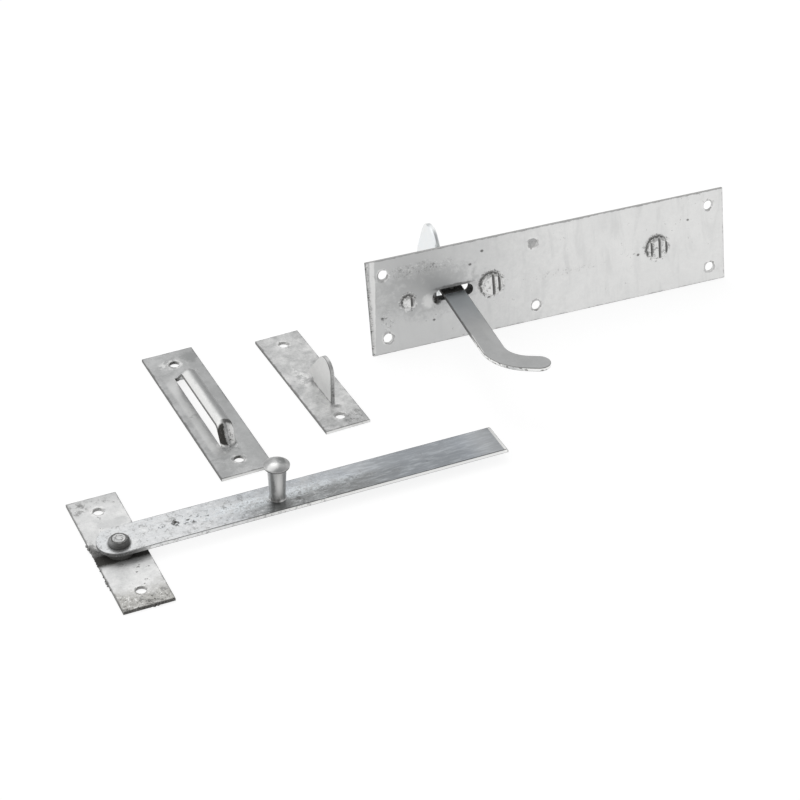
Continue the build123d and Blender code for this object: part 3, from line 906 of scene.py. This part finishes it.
class LATCH_OT_handle(bpy.types.Operator):
    """Finish the handle plate, the pull handle and the lever"""

    bl_idname = "latch.handle"
    bl_label = "Finish the handle"

    plate_half_l = 101.6
    plate_half_w = 25.5
    shear_top_w = 4.4
    shear_bottom_w = 0.8
    lever_at = -54.6
    slot_half_l = 10.4
    slot_half_w = 3.1
    tail_half_t = 1.0
    tail_half_w = 5.9
    tail_slant = 0.084
    stakes = ((-80.2, 3.3, 2.0), (-34.0, 6.0, 2.8), (61.8, 6.0, 2.8))
    pits = ((50.5, 1.8), (80.5, -11.7), (-45.0, -13.0), (-38.0, -19.0), (-95.0, 6.0), (-67.0, 12.6))
    slot_lumps = 9
    lip_lumps = 5

    def execute(self, context):
        self.plate(context)
        self.pull(context)
        self.pin(context)
        self.slot_dross(context)
        self.lever(context)
        return {"FINISHED"}

    def own(self, x, y, z):
        """A place in the handle's own millimetres, as a place in metres."""
        return HANDLE_MIDDLE + HANDLE_TURN @ (Vector((x, y, z)) * MM)

    def slot_walls(self, zinc):
        """1 on the walls of the lever's slot, else 0."""
        along = abs(zinc.x - self.lever_at).fall(self.slot_half_l + 0.1, self.slot_half_l + 0.3)
        across = abs(zinc.y).fall(self.slot_half_w + 0.1, self.slot_half_w + 0.3)
        return along * across * zinc.z.rise(0.05, 0.3)

    def plate(self, context):
        """Bright plate, darker towards the lever, with a sheared end."""
        colours = context.scene.zinc_colours
        zinc = Zinc("handle_plate_zinc", HANDLE_MIDDLE, HANDLE_TURN.to_euler())
        zinc.base(colours.white, colours.bright, 0.5, 0.26)
        leftward = (zinc.x + zinc.ragged(60.0)).fall(-72.0, 20.0)
        zinc.tint(0.12 + 0.66 * leftward, colours.dull)
        zinc.drips(6.0, 4.0, colours.dull, 0.22)
        zinc.tint(0.5 * zinc.patch(-70.0, -4.0, 30.0, 15.0), colours.grey)
        zinc.grit(zinc.patch(-76.0, -17.0, 26.0, 4.0), 0.55)
        zinc.grit(zinc.patch(-92.0, 8.0, 4.0, 6.0), 0.6)
        zinc.grit(zinc.patch(5.0, 2.0, 30.0, 2.5, 8.0), 0.35)
        zinc.edges(self.plate_half_l, self.plate_half_w, 0.5, 0.5, 0.4)
        holes = []
        for name in ("handle_top_screws", "handle_middle_screws", "handle_bottom_screws"):
            at = HANDLE_TURN.transposed() @ (mount_place(name) - HANDLE_MIDDLE) / MM
            half = MOUNTS[name]["dims"]["pcd_mm"] / 2
            holes += [(at.x, -half), (at.x, half)]
        zinc.holes(holes, MOUNTS["handle_top_screws"]["dims"]["hole_r_mm"], 0.2, 0.6)
        for x, radius, height in self.stakes:
            gap = zinc.ring(x, 0.0) - radius + zinc.ragged(5.0)
            # Painted highlight round each stake, and painted shade on its upper-left side.
            shaded_upper_left = (zinc.x - x + 1.4 * zinc.y).fall(-2.0, 3.0)
            zinc.tint(0.5 * gap.fall(0.6, 1.6), colours.white)
            zinc.darken(0.8 * gap.fall(0.3, 1.5) * shaded_upper_left)
            zinc.grit(gap.band(-1.0, 1.6, 1.0), 0.8)
        slot_left = self.lever_at - self.slot_half_l
        zinc.darken(0.9 * zinc.patch(slot_left + 0.6, 1.6, 2.8, 3.4, 5.0))
        # Painted shade along one long edge of the slot and on the slot's walls.
        zinc.darken(0.6 * zinc.patch(self.lever_at, -3.6, 11.0, 1.2, 3.0))
        zinc.darken(0.85 * self.slot_walls(zinc))
        zinc.tint(0.5 * zinc.patch(self.lever_at - 15.0, 2.0, 4.0, 4.0), colours.white)
        for x, y in self.pits:
            zinc.darken(0.7 * zinc.patch(x, y, 0.9, 0.7, 4.0))
        shear = zinc.x + self.plate_half_l
        middle_w = (self.shear_top_w + self.shear_bottom_w) / 2
        slope = (self.shear_top_w - self.shear_bottom_w) / (2 * self.plate_half_w)
        beyond = shear - (middle_w - slope * zinc.y) + zinc.ragged(2.5)
        outer = (shear + zinc.ragged(4.0)).fall(0.3, 2.4)
        # Painted highlight along the bend beside the sheared end.
        zinc.tint(0.75 * beyond.band(-1.6, 0.2, 0.7), colours.white)
        zinc.tint(0.6 * outer, colours.dull)
        zinc.grit(outer, 1.0)
        zinc.specks(0.35)
        dress("handle_plate", zinc.done(0.3, 0.5))

    def pull(self, context):
        """Dull forging with rough hammered stakes."""
        colours = context.scene.zinc_colours
        zinc = Zinc("pull_handle_zinc", HANDLE_MIDDLE, HANDLE_TURN.to_euler())
        zinc.base(colours.bright, colours.dull)
        front = zinc.z.fall(-0.3, 0.0)
        zinc.tint(0.7 * front, colours.white)
        for x, radius, height in self.stakes:
            # Painted shade deep in the chisel cuts of each stake.
            sunk = (zinc.z + height + zinc.ragged(1.0)).rise(0.25, 0.9)
            inside = zinc.ring(x, 0.0).fall(radius - 0.7, radius - 0.4)
            zinc.darken(0.55 * front * sunk * inside)
        zinc.grit(front, 0.5)
        # Painted shade on the slot's walls.
        zinc.darken(1.1 * self.slot_walls(zinc))
        zinc.specks()
        material = zinc.done(0.3, 0.6, 0.9, 2.0)
        dress("pull_handle", material)
        self.stake_burrs(material)

    def pin(self, context):
        """Pin painted dark all over as shade inside the slot."""
        colours = context.scene.zinc_colours
        pin = Zinc("lever_pin_zinc", PIN_PLACE)
        # Dark colours and dark mix all over: painted shade inside the slot.
        pin.base(colours.grey, colours.dark)
        pin.darken(0.9 - 0.4 * pin.mist)
        dress("lever_pin", pin.done())

    def stake_burrs(self, material):
        """Burrs round the hammered stakes."""
        spots = []
        for x, radius, height in self.stakes:
            count = int(radius * 3)
            for index in range(count):
                turn = 2 * pi * index / count + scatter(index + int(radius), 0.3)
                out = radius + scatter(index, 0.3)
                depth = -0.35 * height + scatter(index + 2, 0.3)
                place = self.own(x + out * cos(turn), out * sin(turn), depth)
                spots.append((place, 0.45 + scatter(index + 7, 0.22)))
        seat("stake_burrs", crumbs(spots), material, "latch_set")

    def slot_dross(self, context):
        """Dross lumps on the walls of the slot's ends, clear of the lever's swing, dark with dross grime and
        painted shade.
        """
        colours = context.scene.zinc_colours
        zinc = Zinc("slot_dross_zinc", HANDLE_MIDDLE, HANDLE_TURN.to_euler())
        # Dark colours and heavy darkening: dross grime and painted shade in the slot's ends.
        zinc.base(colours.dull, colours.dark, 0.5, 0.12)
        zinc.darken(1.3 * zinc.fleck.rise(0.36, 0.52))
        slot_left = self.lever_at - self.slot_half_l
        slot_right = self.lever_at + self.slot_half_l
        spots = []
        for index in range(self.slot_lumps):
            y = 0.6 * index - 2.0
            inset = 0.09 * y * y
            place = self.own(slot_left + inset + scatter(index, 0.15), y, 0.8 + scatter(index + 4, 0.3))
            spots.append((place, 0.65 + scatter(index + 2, 0.12)))
            place = self.own(slot_right - inset + scatter(index, 0.15), y, 0.8)
            spots.append((place, 0.6 + scatter(index + 1, 0.12)))
        for index in range(self.lip_lumps):
            place = self.own(slot_left - 0.6 + scatter(index, 0.5), 0.8 * index, 0.0)
            spots.append((place, 0.6 + scatter(index + 3, 0.2)))
        material = zinc.done(0.4, 0.7, 0.8, 2.0)
        seat("slot_dross", crumbs(spots, 0.3), material, "latch_set")

    def lever(self, context):
        """Smooth bluish lever with pale, gritty edges, dirt and painted shade where it enters the slot."""
        colours = context.scene.zinc_colours
        droop = Matrix.Rotation(context.scene.latch_layout.lever_droop, 3, "X")
        zinc = Zinc("thumb_lever_zinc", PIN_PLACE, (HANDLE_TURN @ droop).to_euler())
        zinc.base(colours.dull, colours.grey, 0.44, 0.5)
        zinc.tint(zinc.z.rise(-46.0, -6.0), colours.pale)
        zinc.tint((1.3 * zinc.mist - 0.1) * zinc.z.rise(10.0, 16.0), colours.white)
        tail = zinc.z.fall(-2.0, 2.0)
        depth = self.tail_half_t - abs(zinc.y)
        rind = depth.rise(0.02, 0.2) * tail
        zinc.tint(rind, colours.dull)
        zinc.tint(rind * (zinc.z + zinc.ragged(20.0)).fall(-52.0, -44.0), colours.white)
        zinc.darken(0.8 * rind * zinc.z.rise(-60.0, -45.0))
        zinc.darken(0.8 * tail * depth.rise(0.03, 0.1) * (depth + zinc.ragged(0.6)).fall(0.25, 0.4))
        zinc.darken(0.8 * rind * zinc.fleck.rise(0.52, 0.62))
        across = zinc.x - self.tail_slant * zinc.z
        top_face = tail * zinc.z.rise(-64.0, -60.0) * depth.fall(0.02, 0.1)
        zinc.darken(0.6 * top_face * (self.tail_half_w - abs(across) + zinc.ragged(1.0)).fall(0.1, 0.5))
        # Painted highlight along one long edge of the tail near its tip.
        zinc.tint(0.9 * across.band(-5.7, -5.4, 0.15) * zinc.z.band(-66.0, -50.0, 3.0), colours.white)
        zinc.tint(0.5 * zinc.patch(1.0, 0.0, 4.0, 30.0) * zinc.z.band(-60.0, -40.0, 4.0), colours.dull)
        # Dirt and painted shade where the tail enters the slot.
        zinc.darken(1.2 * (zinc.z + zinc.ragged(2.0)).band(-4.9, 6.0, 0.6))
        dress("thumb_lever", zinc.done(0.24, 0.4, 0.95, 0.6))


def stage_plane(name, size, material):
    """Square sheet on the floor that isn't part of the set."""
    mesh = bpy.data.meshes.new(name)
    shape = bmesh.new()
    bmesh.ops.create_grid(shape, x_segments=1, y_segments=1, size=size)
    shape.to_mesh(mesh)
    shape.free()
    plane = bpy.data.objects.new(name, mesh)
    plane.data.materials.append(material)
    bpy.context.scene.collection.objects.link(plane)


def ray_kind(graph, name):
    """1 for rays of one kind, else 0."""
    return graph.node("ShaderNodeLightPath", {}, {}, name)


def seen_directly(graph):
    """1 for rays from the camera, off gloss or through glass, else 0."""
    from_camera = ray_kind(graph, "Is Camera Ray")
    off_gloss = ray_kind(graph, "Is Glossy Ray")
    through_glass = ray_kind(graph, "Is Transmission Ray")
    return from_camera.high(off_gloss).high(through_glass)


def floor_material(studio):
    """Pale floor that looks white where no shadow falls."""
    material = bpy.data.materials.new("studio_floor")
    material.use_nodes = True
    graph = Graph(material.node_tree)
    matte = graph.node("ShaderNodeBsdfDiffuse", {}, {"Color": rgba(studio.floor_colour)})
    strength = studio.floor_glow * seen_directly(graph)
    glow = graph.node("ShaderNodeEmission", {}, {"Color": (1, 1, 1, 1), "Strength": strength})
    both = graph.node("ShaderNodeAddShader", {}, {0: matte, 1: glow})
    graph.finish("ShaderNodeOutputMaterial", both)
    return material


def studio_world(studio):
    """White surroundings: bright high at the back, low at the front and at the left, darker overhead."""
    world = bpy.data.worlds.new("studio_world")
    world.use_nodes = True
    graph = Graph(world.node_tree)
    direction = graph.node("ShaderNodeTexCoord", {}, {}, "Generated")
    side, back, up = graph.parts(direction)
    behind = studio.sky_low + (studio.sky_back - studio.sky_low) * up.rise(0.1, 0.55)
    ahead = studio.sky_front + (studio.sky_back - studio.sky_front) * up.fall(0.0, 0.5)
    strength = ahead + (behind - ahead) * back.rise(-0.4, 0.5)
    strength = strength + studio.sky_left * side.fall(-0.8, -0.3)
    strength = strength.high(ray_kind(graph, "Is Camera Ray"))
    sky = graph.node("ShaderNodeBackground", {}, {"Color": (1, 1, 1, 1), "Strength": strength})
    graph.finish("ShaderNodeOutputWorld", sky)
    return world


def lamp(name, place, aim, size, power):
    """Soft square lamp turned towards a point."""
    data = bpy.data.lights.new(name, "AREA")
    data.size = size
    data.energy = power
    light = bpy.data.objects.new(name, data)
    light.location = place
    light.rotation_euler = (Vector(aim) - Vector(place)).to_track_quat("-Z", "Y").to_euler()
    bpy.context.scene.collection.objects.link(light)


class LATCH_OT_studio(bpy.types.Operator):
    """Set up the floor, the lamps, the white surroundings and the camera"""

    bl_idname = "latch.studio"
    bl_label = "Set up the studio"

    floor_half = 4.0
    key_place = (0.1, 1.1, 1.9)
    key_size = 1.2

    def execute(self, context):
        scene = context.scene
        studio = scene.studio_settings
        scene.view_settings.view_transform = "Standard"
        stage_plane("studio_floor", self.floor_half, floor_material(studio))
        scene.world = studio_world(studio)
        middle = (CAD_BOX[0] + CAD_BOX[1]) / 2
        lamp("key_lamp", self.key_place, middle, self.key_size, studio.key_power)
        camera = bpy.data.objects.new("photo_camera", bpy.data.cameras.new("photo_camera"))
        camera.data.lens = studio.lens
        aim = Matrix.Rotation(-studio.heading, 4, "Z")
        aim = aim @ Matrix.Rotation(radians(90) - studio.pitch, 4, "X")
        aim = aim @ Matrix.Rotation(studio.roll, 4, "Z")
        camera.matrix_world = Matrix.Translation(studio.eye) @ aim
        scene.collection.objects.link(camera)
        scene.camera = camera
        return {"FINISHED"}


class LATCH_PT_panel(bpy.types.Panel):
    """Lists the steps that dress the set"""

    bl_idname = "LATCH_PT_panel"
    bl_label = "Suffolk latch"
    bl_space_type = "VIEW_3D"
    bl_region_type = "UI"
    bl_category = "Latch"

    def draw(self, context):
        for step in STEPS:
            self.layout.operator(step.bl_idname)


STEPS = (LATCH_OT_plates, LATCH_OT_bar, LATCH_OT_handle, LATCH_OT_studio)
GROUPS = {
    "zinc_colours": ZincColours,
    "zinc_texture": ZincTexture,
    "latch_layout": LatchLayout,
    "studio_settings": StudioSettings,
}


def register():
    for name, group in GROUPS.items():
        bpy.utils.register_class(group)
        setattr(bpy.types.Scene, name, bpy.props.PointerProperty(type=group))
    for step in STEPS:
        bpy.utils.register_class(step)
    bpy.utils.register_class(LATCH_PT_panel)


def unregister():
    bpy.utils.unregister_class(LATCH_PT_panel)
    for step in reversed(STEPS):
        bpy.utils.unregister_class(step)
    for name, group in GROUPS.items():
        delattr(bpy.types.Scene, name)
        bpy.utils.unregister_class(group)


def main():
    register()
    bpy.ops.latch.plates()
    bpy.ops.latch.bar()
    bpy.ops.latch.handle()
    bpy.ops.latch.studio()


if __name__ == "__main__":
    main()
